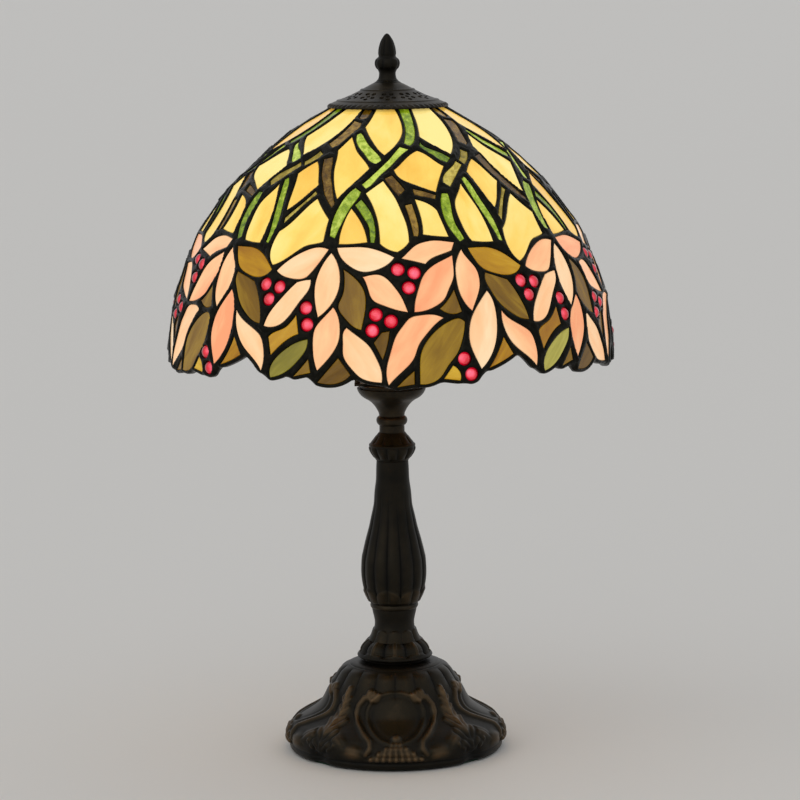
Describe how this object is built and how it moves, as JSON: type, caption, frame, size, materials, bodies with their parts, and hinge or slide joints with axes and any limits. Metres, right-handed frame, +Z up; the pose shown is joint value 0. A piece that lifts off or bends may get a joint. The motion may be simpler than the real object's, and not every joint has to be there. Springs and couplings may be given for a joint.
{
  "type": "stained glass table lamp",
  "caption": "Table lamp with a domed leaded-glass shade of vines, petals and red berries on a cast bronze-finish foot and fluted column.",
  "frame": {"origin": "on the table under the middle of the foot", "axes": "+Z up the column to the finial, -Y to the front, +X to the right seen from the front"},
  "size_m": [0.302, 0.302, 0.4875],
  "materials": {
    "bronze_casting": "dark antique bronze, brown on the high spots",
    "felt": "dark green felt",
    "iron": "rough cast",
    "steel": "zinc plated",
    "brass": "satin brass",
    "black_plastic": "moulded black",
    "phenolic": "brown phenolic",
    "sleeve_board": "insulating board",
    "bulb_glass": "frosted inside, lit",
    "filament": "glowing wire",
    "cream_glass": "opalescent, streaky, lit from inside",
    "pink_glass": "opalescent, streaky, lit from inside",
    "olive_glass": "streaky olive and brown",
    "green_leaf_glass": "streaky green",
    "amber_glass": "streaky amber",
    "vine_green_glass": "mottled yellow green",
    "vine_olive_glass": "mottled olive",
    "vine_brown_glass": "mottled brown",
    "berry_glass": "clear ruby, glossy",
    "solder": "lead and tin solder with black patina"
  },
  "bodies": {
    "base": {"base_casting": "bronze_casting", "base_pad": "felt", "base_weight": "iron", "weight_washer": "steel", "lower_pipe_nut": "steel", "threaded_pipe": "steel", "cord_inlet_bushing": "black_plastic", "leaf_collar": "bronze_casting", "lower_spindle": "bronze_casting", "column_ring": "bronze_casting", "fluted_vase": "bronze_casting", "knop": "bronze_casting", "upper_neck": "bronze_casting", "socket_cup": "bronze_casting", "cup_deck": "bronze_casting", "harp_saddle": "brass", "harp": "brass", "harp_sleeves": "brass", "harp_stud": "brass", "upper_pipe_nut": "steel", "socket_cap": "brass", "socket_shell": "brass", "socket_insulating_sleeve": "sleeve_board", "switch_block": "phenolic", "bulb_screw_shell": "brass", "centre_contact": "brass"},
    "shade": {"glass_cream_ground": "cream_glass", "glass_pink_petals": "pink_glass", "glass_olive_leaves": "olive_glass", "glass_green_leaves": "green_leaf_glass", "glass_amber_leaves": "amber_glass", "glass_green_vines": "vine_green_glass", "glass_olive_vines": "vine_olive_glass", "glass_brown_vines": "vine_brown_glass", "berry_cabochons": "berry_glass", "solder_lattice": "solder", "crown_cap": "bronze_casting", "shade_top_ring": "brass", "spider_plate": "brass", "crown_spacer": "brass", "finial_washer": "brass"},
    "seat": {"seat_washer": "brass"},
    "finial": {"finial": "bronze_casting"},
    "bulb": {"bulb_glass": "bulb_glass", "bulb_cap": "brass", "bulb_filament_mount": "filament"},
    "switch": {"switch_spindle": "brass", "switch_knob": "black_plastic"}
  },
  "joints": [
    {"name": "shade_turn", "type": "hinge", "parent": "base", "child": "seat", "pos_m": [0, 0, 0.436], "axis": [0, 0, 1], "continuous": true},
    {"name": "shade_lift", "type": "slide", "parent": "seat", "child": "shade", "axis": [0, 0, 1], "range_m": [0, 0.22]},
    {"name": "finial_turn", "type": "hinge", "parent": "shade", "child": "finial", "pos_m": [0, 0, 0.456], "axis": [0, 0, 1], "continuous": true},
    {"name": "bulb_turn", "type": "hinge", "parent": "base", "child": "bulb", "pos_m": [0, 0, 0.3], "axis": [0, 0, 1], "continuous": true},
    {"name": "switch_turn", "type": "hinge", "parent": "base", "child": "switch", "pos_m": [0, -0.02, 0.281], "axis": [0, -1, 0], "continuous": true}
  ]
}
